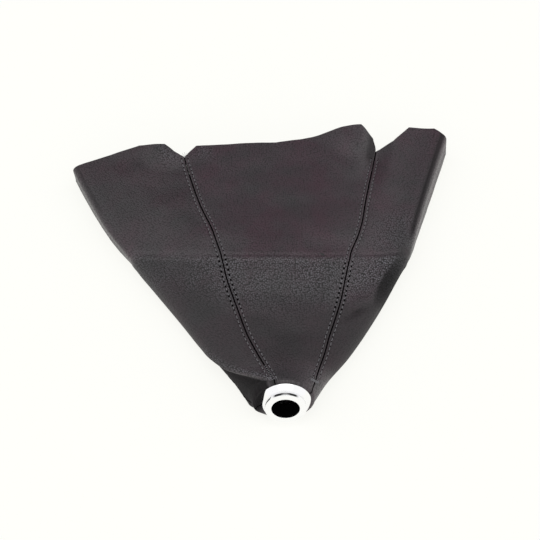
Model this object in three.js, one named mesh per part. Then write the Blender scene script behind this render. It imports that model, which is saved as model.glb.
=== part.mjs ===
// Gear lever gaiter: a sewn four-panel leather boot, pressed nearly flat and lying on its back panel.
// The narrow neck is clamped between a bright ring and a washer behind it. The wide hem is a raw cut
// edge whose corners are clipped at each seam. Millimetres, +Z up, the neck towards -Y.
import * as THREE from 'three';

// Leather
const LEATHER = 1.2;
const ALLOWANCE = 9;
const SEAM_HALF_GAP = 0.2;
const SEAM_ROUND = 0.8;
const EDGE_SHARE = 0.42;
const LAYER_STEP = 0.4;

// Neck ring and washer
const BORE_RADIUS = 10.5;
const BARREL_WALL = 2.1;
const FLANGE_RADIUS = 19;
const FLANGE_HEIGHT = 5.9;
const FLANGE_SIDE = 2.6;
const FLANGE_CROWN = 1.9;
const VALLEY_RADIUS = 16.2;
const VALLEY_DEPTH = 0.6;
const VALLEY_FLOOR = 0.2;
const LIP_RADIUS = 15.4;
const LIP_HEIGHT = 8.6;
const LIP_ROUND = 1.8;
const BORE_ROUND = 0.4;
const WASHER_THICKNESS = 1.5;
const WASHER_LAND = 3.7;
const BEAD = 1.2;
const SEAT_GAP = 0.3;
const HOLE_SLACK = 0.4;
const BARREL_RADIUS = BORE_RADIUS + BARREL_WALL;
const WASHER_BORE = BARREL_RADIUS + SEAT_GAP;
const WASHER_RADIUS = WASHER_BORE + WASHER_LAND;
const CLAMP_RADIUS = WASHER_BORE + HOLE_SLACK;
const RING_SEGMENTS = 44;

// The neck: the round of its sides, how much its section is higher than round, and how far it looks up
const NECK_ROUND = 20.2;
const NECK_RISE = 0.4;
const NECK_HEIGHT = NECK_ROUND + NECK_RISE;
const NECK_TOP = 2 * NECK_ROUND + NECK_RISE;
const NECK_LEFT = NECK_ROUND + 3.8;
const NECK_RIGHT = NECK_ROUND + 0.4;
const NECK_TILT = THREE.MathUtils.degToRad(7);
const TILT_FADES_OVER = 30;
const SHOULDER = 3;

// The flattened boot as stations behind the neck: how far it reaches to the left and right of the
// neck's middle, the round of its side folds and its height
const STATIONS = [
  { at: 0, left: NECK_LEFT, right: NECK_RIGHT, fold: NECK_ROUND, height: NECK_TOP },
  { at: 20, left: 37, right: 31, fold: 15.5, height: 38 },
  { at: 47, left: 59.5, right: 50, fold: 12.5, height: 37.5 },
  { at: 80, left: 82, right: 69.2, fold: 11, height: 41 },
  { at: 107, left: 101, right: 83, fold: 10.5, height: 50.2 },
  { at: 114, left: 106, right: 86.3, fold: 10.5, height: 52 },
  { at: 126, left: 114.5, right: 92, fold: 10, height: 52 },
  { at: 142, left: 125, right: 100, fold: 10, height: 51.6 },
  { at: 172, left: 145.2, right: 109.3, fold: 10, height: 49 },
  { at: 275, left: 195.5, right: 141.5, fold: 9, height: 45.5 },
];

// The old packing crease crosses the top straight, so it runs further back at the sides
const CREASE_SWEEP = 27;
const SWEEP_STARTS = 60;
const SWEEP_FULL = 115;

// The four seams as shares of the girth, clockwise from the top as seen from the neck
const SEAMS = [
  { at: 0, frontLeft: -0.045, frontRight: 0.183, backRight: 0.44, backLeft: 0.7 },
  { at: 30, frontLeft: -0.082, frontRight: 0.163, backRight: 0.425, backLeft: 0.68 },
  { at: 54, frontLeft: -0.0935, frontRight: 0.149, backRight: 0.42, backLeft: 0.67 },
  { at: 95, frontLeft: -0.0985, frontRight: 0.147, backRight: 0.412, backLeft: 0.662 },
  { at: 125, frontLeft: -0.0913, frontRight: 0.1445, backRight: 0.408, backLeft: 0.66 },
  { at: 165, frontLeft: -0.0925, frontRight: 0.153, backRight: 0.404, backLeft: 0.656 },
  { at: 275, frontLeft: -0.097, frontRight: 0.158, backRight: 0.406, backLeft: 0.656 },
];

// The cut hem of each panel, from its first seam to its second: share of the panel and distance
// behind the neck. The first and last points are the clipped corners' roots in the seams.
const HEMS = {
  front_panel: [
    [0, 220.5], [0.078, 233.4], [0.486, 234], [0.61, 240], [0.82, 253.6], [0.907, 257.6], [0.977, 250.5],
    [1, 239.5],
  ],
  right_panel: [
    [0, 239.5], [0.081, 251.2], [0.142, 270], [0.266, 272.6], [0.32, 267], [0.4, 262], [0.6, 250],
    [0.9, 240], [1, 226],
  ],
  back_panel: [[0, 226], [0.1, 238], [0.5, 239], [0.9, 238], [1, 226]],
  left_panel: [
    [0, 226], [0.1, 236], [0.35, 230], [0.44, 233.5], [0.6, 237.2], [0.79, 241], [0.916, 234.3],
    [0.955, 225.5], [1, 220.5],
  ],
};

// The front panel's right corner rears up beside the seam, which sinks between the two panels
const CORNER_LIFT = 7;
const CORNER_REACH = 42;
const CORNER_AT = 262;
const CORNER_SHARE = 0.128;
const SEAM_SINK = 6;
const SEAM_SINK_HALF_WIDTH = 15;
const SEAM_SINK_FROM = 185;
const SEAM_SINK_FULL = 240;

// The left panel's corner curls up at its clipped hem
const CURL = 5;
const CURL_SHARE = -0.117;
const CURL_AT = 232;
const CURL_REACH = 26;

// Beside the ring the leather swells past it on the neck's left, round the shoulder's first turn
const SWELL = 3.5;
const SWELL_SHARE = -0.25;
const SWELL_REACH = 0.15;
const SWELL_TURN = 1.2;
const SWELL_TURN_REACH = 0.42;
const SWELL_CLEARS = FLANGE_RADIUS + 2 * SEAT_GAP;

// The allowances start to be folded back behind the neck, where the leather turns double
const DOUBLED_FROM = 5;
const DOUBLED_FULL = 16;

// How finely the panels are cut into rows and columns
const BODY_ROWS = [4, 9, 16, 26, 38, 52, 66, 80, 93, 104, 110, 114, 122, 136, 152, 168, 188];
const SHOULDER_TURNS = [0, 0.75, 1, 1.33, 1.67, 2];
const HEM_ROWS = 4;
const MIDDLE_COLUMNS = 5;
const SIDE_COLUMNS = 3;
const BEND_COLUMNS = 4;
const SECTION_STEPS = 48;

const smooth = THREE.MathUtils.smoothstep;

// A hill of height 1 that falls smoothly to 0 at the given distance
function hill(distance, reach) {
  const inside = Math.max(0, 1 - (distance / reach) ** 2);
  return inside * inside;
}

// A smooth curve through named stations that doesn't overshoot between them
function along(stations, name, at) {
  const last = stations.length - 1;
  const steps = stations.slice(1).map((next, i) => next.at - stations[i].at);
  const slopes = steps.map((step, i) => (stations[i + 1][name] - stations[i][name]) / step);
  const place = THREE.MathUtils.clamp(at, stations[0].at, stations[last].at);
  let i = 0;
  while (i < last - 1 && place > stations[i + 1].at) i += 1;
  const tangent = (k) => {
    if (k === 0 || k === last) return slopes[Math.min(k, last - 1)];
    const [before, after] = [slopes[k - 1], slopes[k]];
    if (before * after <= 0) return 0;
    const [shorter, longer] = [2 * steps[k] + steps[k - 1], steps[k] + 2 * steps[k - 1]];
    return (shorter + longer) / (shorter / before + longer / after);
  };
  const t = (place - stations[i].at) / steps[i];
  const [from, to] = [stations[i][name], stations[i + 1][name]];
  return (1 + 2 * t) * (1 - t) ** 2 * from + t * (1 - t) ** 2 * steps[i] * tangent(i)
    + t * t * (3 - 2 * t) * to + t * t * (t - 1) * steps[i] * tangent(i + 1);
}

// One cross-section of the boot: a domed lens whose edges are round folds, flat underneath.
// It starts at the middle of the top and runs clockwise as seen from the neck.
function traceSection(at) {
  const left = along(STATIONS, 'left', at);
  const right = along(STATIONS, 'right', at);
  const fold = along(STATIONS, 'fold', at);
  const middle = (right - left) / 2;
  const half = (right + left) / 2 - fold;
  const sweep = CREASE_SWEEP * smooth(at, SWEEP_STARTS, SWEEP_FULL);
  const lens = (t) => (along(STATIONS, 'height', at - sweep * t * t) - 2 * fold) * (1 - t * t);
  const top = [];
  for (let i = -SECTION_STEPS; i <= SECTION_STEPS; i += 1) {
    const t = i / SECTION_STEPS;
    const nudge = 0.5 / SECTION_STEPS;
    const slope = (lens(Math.min(1, t + nudge)) - lens(Math.max(-1, t - nudge)))
      / ((Math.min(1, t + nudge) - Math.max(-1, t - nudge)) * half);
    const normal = new THREE.Vector2(-slope, 1).normalize();
    top.push(new THREE.Vector2(middle + half * t, fold + lens(t)).addScaledVector(normal, fold));
  }
  const foldArc = (x, from, to) => {
    const points = [];
    for (let i = 1; i <= SECTION_STEPS; i += 1) {
      const angle = from + (to - from) * i / SECTION_STEPS;
      points.push(new THREE.Vector2(x + fold * Math.cos(angle), fold + fold * Math.sin(angle)));
    }
    return points;
  };
  const end = top.at(-1);
  const start = top[0];
  const rightAngle = Math.atan2(end.y - fold, end.x - middle - half);
  const leftAngle = Math.atan2(start.y - fold, start.x - middle + half) - 2 * Math.PI;
  const points = [
    ...top.slice(SECTION_STEPS),
    ...foldArc(middle + half, rightAngle, -Math.PI / 2),
    ...foldArc(middle - half, -Math.PI / 2, leftAngle),
    ...top.slice(1, SECTION_STEPS + 1),
  ];
  points.splice(2 * SECTION_STEPS + 1, 0, new THREE.Vector2(middle - half, 0));
  const lengths = [0];
  points.slice(1).forEach((point, i) => lengths.push(lengths[i] + point.distanceTo(points[i])));
  const girth = lengths.at(-1);
  const rightFold = [lengths[SECTION_STEPS] / girth, lengths[2 * SECTION_STEPS] / girth];
  const leftFold = [lengths[2 * SECTION_STEPS + 1] / girth, lengths[3 * SECTION_STEPS + 1] / girth];
  return { points, lengths, girth, rightFold, leftFold };
}

const traced = new Map();
function section(at) {
  const key = at.toFixed(3);
  if (!traced.has(key)) traced.set(key, traceSection(at));
  return traced.get(key);
}

// A point of the cross-section by its share of the girth
function sectionPoint(share, at) {
  const { points, lengths, girth } = section(at);
  const goal = (share - Math.floor(share)) * girth;
  let low = 0;
  let high = lengths.length - 1;
  while (high - low > 1) {
    const mid = (low + high) >> 1;
    if (lengths[mid] > goal) high = mid;
    else low = mid;
  }
  const part = (goal - lengths[low]) / (lengths[high] - lengths[low]);
  return points[low].clone().lerp(points[high], part);
}

// Sets a point that is given in the neck's own plane into the part, tilted as the neck is
function place(x, at, z) {
  const tilt = NECK_TILT * (1 - smooth(at, 0, TILT_FADES_OVER));
  const rise = z - NECK_HEIGHT;
  return new THREE.Vector3(x, at + rise * Math.sin(tilt), NECK_HEIGHT + rise * Math.cos(tilt));
}

// How far the leather stands over the plain section
function lift(share, at) {
  const girth = section(at).girth;
  const seam = along(SEAMS, 'frontRight', at);
  const corner = Math.hypot((share - CORNER_SHARE) * girth, at - CORNER_AT);
  const sinking = smooth(at, SEAM_SINK_FROM, SEAM_SINK_FULL);
  const turned = share - Math.round(share);
  const curl = Math.hypot((turned - CURL_SHARE) * girth, at - CURL_AT);
  return CORNER_LIFT * hill(corner, CORNER_REACH) + CURL * hill(curl, CURL_REACH)
    - SEAM_SINK * sinking * hill((share - seam) * girth, SEAM_SINK_HALF_WIDTH);
}

// The leather's outer face. The turn from 0 to 1 runs flat from the barrel to the shoulder, from 1 to
// 2 round the shoulder, and past 2 it is the distance behind the shoulder's end.
function outerFace(share, turn) {
  if (turn >= 2) {
    const at = SHOULDER + turn - 2;
    const point = sectionPoint(share, at);
    return place(point.x, at, point.y + lift(share, at));
  }
  const rim = sectionPoint(share, SHOULDER);
  const spoke = new THREE.Vector2(rim.x, rim.y - NECK_HEIGHT);
  const reach = spoke.length();
  const angle = Math.max(0, turn - 1) * Math.PI / 2;
  const radius = turn < 1
    ? THREE.MathUtils.lerp(CLAMP_RADIUS, reach - SHOULDER, turn)
    : reach - SHOULDER * (1 - Math.sin(angle));
  const turned = share - Math.round(share);
  const swell = SWELL * hill(turned - SWELL_SHARE, SWELL_REACH) * hill(turn - SWELL_TURN, SWELL_TURN_REACH)
    * smooth(radius, SWELL_CLEARS, SWELL_CLEARS + SHOULDER / 2);
  spoke.setLength(radius);
  return place(spoke.x, SHOULDER * (1 - Math.cos(angle)) - swell, NECK_HEIGHT + spoke.y);
}

// The direction that the leather faces, from the slopes across and along it
function outward(share, turn) {
  const [aside, ahead] = [0.004, 0.05];
  const across = outerFace(share + aside, turn).sub(outerFace(share - aside, turn));
  const back = outerFace(share, turn + ahead).sub(outerFace(share, Math.max(0, turn - ahead)));
  return across.cross(back).normalize();
}

// The distance behind the neck as a turn
const turnAt = (at) => at - SHOULDER + 2;

// A straight line through pairs of share and value
function between(pairs, share) {
  let i = 0;
  while (i < pairs.length - 2 && share > pairs[i + 1][0]) i += 1;
  const [[fromShare, from], [toShare, to]] = [pairs[i], pairs[i + 1]];
  return from + (to - from) * (share - fromShare) / (toShare - fromShare);
}

// Columns of a panel: millimetres from its first seam, and how deep its outer and inner faces lie
// there. The allowance is folded back inside along each seam, so the panel is double there. The bend
// is the stretch that turns round a side fold, if the panel has one.
function columns(width, doubled, bend) {
  const allowance = Math.min(ALLOWANCE, width / 5);
  const corner = allowance + LAYER_STEP + width / 22;
  const full = LEATHER + doubled;
  const rounded = (part) => full / 2 * (1 - Math.sqrt(1 - (1 - part) ** 2));
  const rim = [0, 1 / 4, 1].map((part) => {
    const depth = Math.min(rounded(part), EDGE_SHARE * full);
    return { from: SEAM_HALF_GAP + part * SEAM_ROUND, outer: depth, inner: full - depth };
  });
  const edge = [
    ...rim,
    { from: allowance, outer: 0, inner: full },
    { from: allowance + LAYER_STEP, outer: 0, inner: LEATHER },
    { from: corner, outer: 0, inner: LEATHER },
  ];
  const clamp = THREE.MathUtils.clamp;
  const least = (width - 2 * corner) / 10;
  const bendFrom = bend && clamp(bend[0], corner + least, width - corner - 3 * least);
  const bendTo = bend && clamp(bend[1], bendFrom + 2 * least, width - corner - least);
  const stops = bend ? [corner, bendFrom, bendTo, width - corner] : [corner, width - corner];
  const counts = bend ? [SIDE_COLUMNS, BEND_COLUMNS, SIDE_COLUMNS] : [MIDDLE_COLUMNS];
  const middle = counts.flatMap((count, stretch) => {
    const ends = stretch < counts.length - 1 ? count : count - 1;
    return Array.from({ length: ends }, (_, i) => {
      const from = THREE.MathUtils.lerp(stops[stretch], stops[stretch + 1], (i + 1) / count);
      return { from, outer: 0, inner: LEATHER };
    });
  });
  const mirrored = edge.map((column) => ({ ...column, from: width - column.from })).reverse();
  return [...edge, ...middle, ...mirrored];
}

// Joins rows of points, each a closed loop of outer points and inner points back again
function loft(rows) {
  const count = rows[0].length;
  const positions = rows.flat().flatMap((point) => point.toArray());
  const index = [];
  const quad = (a, b, c, d) => index.push(a, b, c, a, c, d);
  for (let row = 0; row + 1 < rows.length; row += 1) {
    for (let i = 0; i < count; i += 1) {
      const next = (i + 1) % count;
      quad(row * count + i, row * count + next, (row + 1) * count + next, (row + 1) * count + i);
    }
  }
  const last = (rows.length - 1) * count;
  for (let i = 0; i + 1 < count / 2; i += 1) {
    quad(i + 1, i, count - 1 - i, count - 2 - i);
    quad(last + i, last + i + 1, last + count - 2 - i, last + count - 1 - i);
  }
  const geometry = new THREE.BufferGeometry();
  geometry.setAttribute('position', new THREE.Float32BufferAttribute(positions, 3));
  geometry.setIndex(index);
  return geometry;
}

// One panel from its first seam to its second, clockwise as seen from the neck
function panel(hem, first, second, fold) {
  const seamsAt = (at) => [along(SEAMS, first, at), along(SEAMS, second, at) + (first === 'backLeft' ? 1 : 0)];
  const row = (atOf, turnOf = turnAt) => {
    const middle = atOf(0.5);
    const [start, end] = seamsAt(middle);
    const cross = section(Math.max(middle, SHOULDER));
    const width = (end - start) * cross.girth;
    const bend = fold && cross[fold].map((share) => (share - start) * cross.girth);
    const doubled = LEATHER * smooth(middle, DOUBLED_FROM, DOUBLED_FULL);
    const outer = [];
    const inner = [];
    columns(width, doubled, bend).forEach((column) => {
      const at = atOf(column.from / width);
      const share = THREE.MathUtils.lerp(...seamsAt(at), column.from / width);
      const turn = turnOf(at);
      const face = outerFace(share, turn);
      const normal = outward(share, turn);
      outer.push(face.clone().addScaledVector(normal, -column.outer));
      inner.unshift(face.clone().addScaledVector(normal, -column.inner));
    });
    return [...outer, ...inner];
  };
  const rows = SHOULDER_TURNS.map((turn) => row(() => 0, () => turn));
  BODY_ROWS.forEach((at) => rows.push(row(() => at)));
  const from = BODY_ROWS.at(-1);
  for (let i = 1; i <= HEM_ROWS; i += 1) {
    rows.push(row((part) => THREE.MathUtils.lerp(from, between(hem, part), i / HEM_ROWS)));
  }
  return loft(rows);
}

// A quarter round of a profile, from the side to the top
function quarter(radius, height, inwards, upwards) {
  return [0, 30, 60, 90].map((degrees) => {
    const angle = THREE.MathUtils.degToRad(degrees);
    return [radius - inwards * (1 - Math.cos(angle)), height - upwards * (1 - Math.sin(angle))];
  });
}

// The bright ring, turned about its own axis: a domed flange, a valley, a broad raised lip round the
// bore, and a barrel whose end is rolled over behind the washer
function ringProfile() {
  const washerBack = -LEATHER - 2 * SEAT_GAP - WASHER_THICKNESS;
  const barrelEnd = washerBack - 2 * SEAT_GAP - BEAD;
  const valley = FLANGE_HEIGHT - VALLEY_DEPTH;
  return [
    [BARREL_RADIUS, SEAT_GAP],
    [FLANGE_RADIUS, SEAT_GAP],
    ...quarter(FLANGE_RADIUS, FLANGE_HEIGHT, FLANGE_CROWN, FLANGE_HEIGHT - FLANGE_SIDE),
    [VALLEY_RADIUS + VALLEY_FLOOR, valley],
    [VALLEY_RADIUS - VALLEY_FLOOR, valley],
    ...quarter(LIP_RADIUS, LIP_HEIGHT, LIP_ROUND, LIP_ROUND),
    [BORE_RADIUS + BORE_ROUND, LIP_HEIGHT],
    [BORE_RADIUS, LIP_HEIGHT - BORE_ROUND],
    [BORE_RADIUS, barrelEnd],
    [BARREL_RADIUS + BEAD / 2, barrelEnd],
    [BARREL_RADIUS + BEAD, barrelEnd + BEAD / 2],
    [BARREL_RADIUS + BEAD / 2, barrelEnd + BEAD],
    [BARREL_RADIUS, barrelEnd + BEAD],
  ];
}

function washerProfile() {
  const front = -LEATHER - SEAT_GAP;
  const back = front - WASHER_THICKNESS;
  return [[WASHER_BORE, front], [WASHER_BORE, back], [WASHER_RADIUS, back], [WASHER_RADIUS, front]];
}

// Turns a profile of radius and height, closed on itself, about the neck's axis
function turned(profile) {
  const outline = [...profile, profile[0]].map(([radius, height]) => new THREE.Vector2(radius, height));
  return new THREE.LatheGeometry(outline, RING_SEGMENTS);
}

const chrome = new THREE.MeshStandardMaterial({ color: 0xd8dadd, metalness: 1, roughness: 0.08 });
const steel = new THREE.MeshStandardMaterial({ color: 0xa9abad, metalness: 1, roughness: 0.35 });
const leather = (color) => new THREE.MeshStandardMaterial({ color, metalness: 0, roughness: 0.5 });

const gaiter = new THREE.Group();

function add(name, geometry, material) {
  const mesh = new THREE.Mesh(geometry, material);
  mesh.name = name;
  gaiter.add(mesh);
  return mesh;
}

function addOnNeck(name, geometry, material) {
  const mesh = add(name, geometry, material);
  mesh.position.set(0, 0, NECK_HEIGHT);
  mesh.rotation.x = Math.PI - NECK_TILT;
}

add('front_panel', panel(HEMS.front_panel, 'frontLeft', 'frontRight'), leather(0x423b3f));
add('right_panel', panel(HEMS.right_panel, 'frontRight', 'backRight', 'rightFold'), leather(0x413a3e));
add('back_panel', panel(HEMS.back_panel, 'backRight', 'backLeft'), leather(0x40393d));
add('left_panel', panel(HEMS.left_panel, 'backLeft', 'frontLeft', 'leftFold'), leather(0x433c40));
addOnNeck('neck_ring', turned(ringProfile()), chrome);
addOnNeck('retaining_washer', turned(washerProfile()), steel);

// The origin is at the middle of the whole part's footprint, on the floor
const box = new THREE.Box3().setFromObject(gaiter);
const middle = box.getCenter(new THREE.Vector3());
gaiter.position.set(-middle.x, -middle.y, -box.min.z);
gaiter.updateMatrixWorld(true);

export default gaiter;
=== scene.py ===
# A sewn leather gear lever gaiter, pressed nearly flat and lying on its back panel.
# Lengths are in millimetres until a mesh is made, which is in metres. +Z is up, the neck is at -Y.
import math

import bpy
import numpy as np
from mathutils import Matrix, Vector


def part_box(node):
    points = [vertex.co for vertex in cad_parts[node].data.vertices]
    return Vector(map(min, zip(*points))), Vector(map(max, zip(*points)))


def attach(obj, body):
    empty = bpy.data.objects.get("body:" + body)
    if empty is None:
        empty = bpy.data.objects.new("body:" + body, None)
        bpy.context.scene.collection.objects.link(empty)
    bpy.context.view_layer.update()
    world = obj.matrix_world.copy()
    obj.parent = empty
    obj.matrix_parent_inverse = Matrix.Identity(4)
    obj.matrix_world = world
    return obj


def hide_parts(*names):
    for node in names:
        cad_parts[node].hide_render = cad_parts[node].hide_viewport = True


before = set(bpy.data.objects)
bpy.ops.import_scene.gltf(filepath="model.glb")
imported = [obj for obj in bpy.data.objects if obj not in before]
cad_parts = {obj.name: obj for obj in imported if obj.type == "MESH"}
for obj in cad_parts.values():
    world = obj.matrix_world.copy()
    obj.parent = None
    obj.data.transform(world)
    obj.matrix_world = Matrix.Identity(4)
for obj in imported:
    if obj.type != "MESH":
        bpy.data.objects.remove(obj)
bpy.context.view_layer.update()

MM = 0.001

# Leather
LEATHER = 1.2
ALLOWANCE = 9.0
SEAM_HALF_GAP = 0.02

# Neck ring and washer. The flange's slope is given by points inwards from its rim and up from its seat.
# The solid's lip has the round LIP_ROUND, and the turned ring's lip the tighter LIP_CROWN.
BORE_RADIUS = 10.5
BARREL_WALL = 2.1
FLANGE_RADIUS = 19.0
FLANGE_HEIGHT = 5.9
FLANGE_SLOPE = [(0.08, 0.4), (0.95, 2.35), (1.75, 4.0), (2.05, 4.5), (2.4, 4.85), (2.6, 4.95)]
VALLEY_RADIUS = 16.2
VALLEY_DEPTH = 1.3
VALLEY_FLOOR = 0.2
LIP_RADIUS = 15.4
LIP_HEIGHT = 8.6
LIP_ROUND = 1.8
LIP_CROWN = 0.3
BORE_ROUND = 0.25
IN_BORE = 0.05
RIM_CHAMFER = 0.2
END_CHAMFER = 0.3
FILLET = 0.1
WASHER_THICKNESS = 1.5
WASHER_LAND = 3.7
BEAD = 1.2
SEAT_GAP = 0.3
HOLE_SLACK = 0.4
BARREL_RADIUS = BORE_RADIUS + BARREL_WALL
WASHER_BORE = BARREL_RADIUS + SEAT_GAP
WASHER_RADIUS = WASHER_BORE + WASHER_LAND
CLAMP_RADIUS = WASHER_BORE + HOLE_SLACK

# The neck's place and tilt
NECK_HEIGHT = 20.6
NECK_TILT = math.radians(7)
TILT_FADES_OVER = 30.0
SHOULDER = 3.0

# The flattened boot as stations behind the neck: reach to the left and right, fold, height
STATIONS = {
    "at": [0, 20, 47, 80, 107, 114, 126, 142, 172, 275],
    "left": [24, 37, 59.5, 82, 101, 106, 114.5, 125, 145.2, 195.5],
    "right": [20.6, 31, 50, 69.2, 83, 86.3, 92, 100, 109.3, 141.5],
    "fold": [20.2, 15.5, 12.5, 11, 10.5, 10.5, 10, 10, 10, 9],
    "height": [40.8, 38, 37.5, 41, 50.2, 52, 52, 51.6, 49, 45.5],
}
CREASE_SWEEP = 27.0
SWEEP_STARTS = 60.0
SWEEP_FULL = 115.0

# The four seams as shares of the girth, clockwise from the top as seen from the neck
SEAMS = {
    "at": [0, 30, 54, 95, 125, 165, 275],
    "front_left": [-0.045, -0.082, -0.0935, -0.0985, -0.0913, -0.0925, -0.097],
    "front_right": [0.183, 0.163, 0.149, 0.147, 0.1445, 0.153, 0.158],
    "back_right": [0.44, 0.425, 0.42, 0.412, 0.408, 0.404, 0.406],
    "back_left": [0.7, 0.68, 0.67, 0.662, 0.66, 0.656, 0.656],
}

# The cut hem of each panel: share of the panel from its first seam, and distance behind the neck
HEMS = {
    "front_panel": [(0, 220.5), (0.078, 233.4), (0.486, 234), (0.61, 240), (0.82, 253.6),
                    (0.907, 257.6), (0.977, 250.5), (1, 239.5)],
    "right_panel": [(0, 239.5), (0.081, 251.2), (0.142, 270), (0.266, 272.6), (0.32, 267),
                    (0.4, 262), (0.6, 250), (0.9, 240), (1, 226)],
    "back_panel": [(0, 226), (0.1, 238), (0.5, 239), (0.9, 238), (1, 226)],
    "left_panel": [(0, 226), (0.1, 236), (0.35, 230), (0.44, 233.5), (0.6, 237.2), (0.79, 241),
                   (0.916, 234.3), (0.955, 225.5), (1, 220.5)],
}
PANELS = {
    "front_panel": ("front_left", "front_right"),
    "right_panel": ("front_right", "back_right"),
    "back_panel": ("back_right", "back_left"),
    "left_panel": ("back_left", "front_left"),
}

# The front panel's right corner rears up beside the seam, which sinks between the two panels
CORNER_LIFT = 7.0
CORNER_REACH = 42.0
CORNER_AT = 262.0
CORNER_SHARE = 0.128
SEAM_SINK = 6.0
SEAM_SINK_HALF_WIDTH = 15.0
SEAM_SINK_FROM = 185.0
SEAM_SINK_FULL = 240.0

# Beside the ring the leather swells past it on the neck's left, round the shoulder's first turn
SWELL = 3.5
SWELL_SHARE = -0.25
SWELL_REACH = 0.15
SWELL_TURN = 1.2
SWELL_TURN_REACH = 0.42
SWELL_CLEARS = FLANGE_RADIUS + 2 * SEAT_GAP

# The left panel's corner curls up at its clipped hem
CURL = 5.0
CURL_SHARE = -0.117
CURL_AT = 232.0
CURL_REACH = 26.0

# The crease that crosses the top, as a ridge before a valley, and the ridges along both side folds
TOP_ENDS = (0.27, 0.31)
CREASE_AT = 113.0
CREASE_VALLEY = 0.5
CREASE_VALLEY_WIDTH = 1.3
CREASE_RIDGE = 0.3
CREASE_RIDGE_BEFORE = 3.5
CREASE_RIDGE_WIDTH = 2.2
RIGHT_RIDGE = 4.0
LEFT_RIDGE = 1.6
RIDGE_REACH = 12.0
RIDGE_CREST = 3.0
RIDGED = (55.0, 90.0)

# Towards the hem the leather hangs down beside its ridges as a steep wall instead of a round fold:
# where its crest and its foot lie in fold radii, and how far the rounding under it runs
RIGHT_WALL = {"crest": 0.35, "foot": (1.4, -0.6)}
LEFT_WALL = {"crest": 0.62, "foot": (1.2, -0.6)}
WALL_UNDER = math.radians(35)
WALL_FLATTEST = 0.2
WALLED = (126.0, 160.0)
WALL_SOFTENING = (-2.0, -1.0, 0.0, 1.0, 2.0)

# The sharp fold on the neck's left side: its shares along the boot, its crest and what lies under it
NECK_FOLD = {
    "at": [3.9, 8.3, 15.5, 21, 31, 44, 58],
    "share": [-0.068, -0.105, -0.155, -0.193, -0.237, -0.252, -0.262],
}
NECK_FOLD_SLANT = 0.72
NECK_FOLD_CREST = 1.2
NECK_FOLD_OVER = 7.0
NECK_FOLD_EDGE = 2.2
NECK_FOLD_RECESS = 3.6
NECK_FOLD_UNDER = 15.0
NECK_FOLD_STARTS = (2.0, 7.0)
NECK_FOLD_ENDS = (42.0, 60.0)
NECK_FOLD_SIDE = (-0.37, -0.31)
NECK_BULGE = 3.2
NECK_BULGE_SHARE = -0.345
NECK_BULGE_REACH = 0.055
NECK_BULGE_STARTS = (2.0, 9.0)
NECK_BULGE_ENDS = (30.0, 56.0)

# A dent on the right panel below the crease
DENT = 2.2
DENT_SHARE = 0.195
DENT_AT = 79.0
DENT_LENGTH = 11.0
DENT_WIDTH = 4.0

# Slow waves of the leather: height, wavelength, direction in degrees and phase. They bend, and they
# fade out towards the side folds and the neck.
WAVES = [(0.5, 83.0, 28.0, 0.4), (0.3, 47.0, -52.0, 1.9), (0.14, 26.0, 74.0, 4.1), (0.06, 14.0, 12.0, 2.2)]
WAVE_BEND = 1.2
WAVE_BEND_LENGTH = 1.7
WAVES_FROM_FOLD = (0.0, 40.0)
WAVES_FROM_NECK = (10.0, 50.0)
RELIEF_FROM_NECK = (1.5, 8.0)

# Topstitching: how it lies, and how the leather puckers round it and swells beside the seam
STITCH_FROM_SEAM = 2.8
STITCH_PITCH = 4.3
STITCH_LENGTH = 3.1
STITCH_CROWN = 0.3
STITCH_DIVE = 0.75
STITCH_TAPER = 0.35
STITCH_SINKS = 0.3
STITCH_DIP = 0.3
STITCH_DIP_WIDTH = 0.7
STITCH_DIP_PUCKER = 0.5
THREAD_RADIUS = 0.3
THREAD_LOWEST = 0.02
INSIDE_ROW_STARTS = 12.0
HOLE_RADIUS = 0.42
HOLE_CROWN = 0.16
HOLE_DEPTH = 0.5
HOLE_SIDES = 8
WIDE_HOLE_RADIUS = 0.95
WIDE_HOLES_START = (66.0, 80.0)
WIDE_HOLES_END = (116.0, 120.0)
SEAM_PILLOW = 0.2
SEAM_PILLOW_AT = 1.5
SEAM_PILLOW_WIDTH = 0.8
SEAM_PILLOW_PUCKER = 0.3
SEAM_EDGE_ROUND = 0.8
SEAM_DOUBLED = (5.0, 16.0)

# Where the rows of topstitching start and end, and the strands that cross two of the seams
ROW_STARTS = {"front_left": 3.4, "front_right": 10.5, "back_right": 6.0, "back_left": 45.0}
ROW_ENDS = {"front_left": 221.0, "front_right": 233.0, "back_right": 225.0, "back_left": 225.0}
CROSSING_THINNER = 0.8
LACING = {"at": np.arange(4.0, 20.0, 1.9), "first": -1.3, "last": 1.3, "rise": -0.1, "slant": 0.5}
BAR_TACK = {"at": [9.2, 9.9, 10.6], "first": -4.6, "last": 3.6, "rise": 0.15, "slant": 1.6}

# The loose thread ends at the left notch: how far each runs aside, away and up
TAILS_AT = 219.5
TAILS = [(-2.6, 4.6, 1.2), (-0.6, 5.6, 0.6), (0.9, 4.2, 1.6)]
TAIL_RADII = (0.14, 0.08)
TAIL_CURL = 0.5
TAIL_CURL_TURN = 2.4
TAIL_RISE = 0.2

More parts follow.
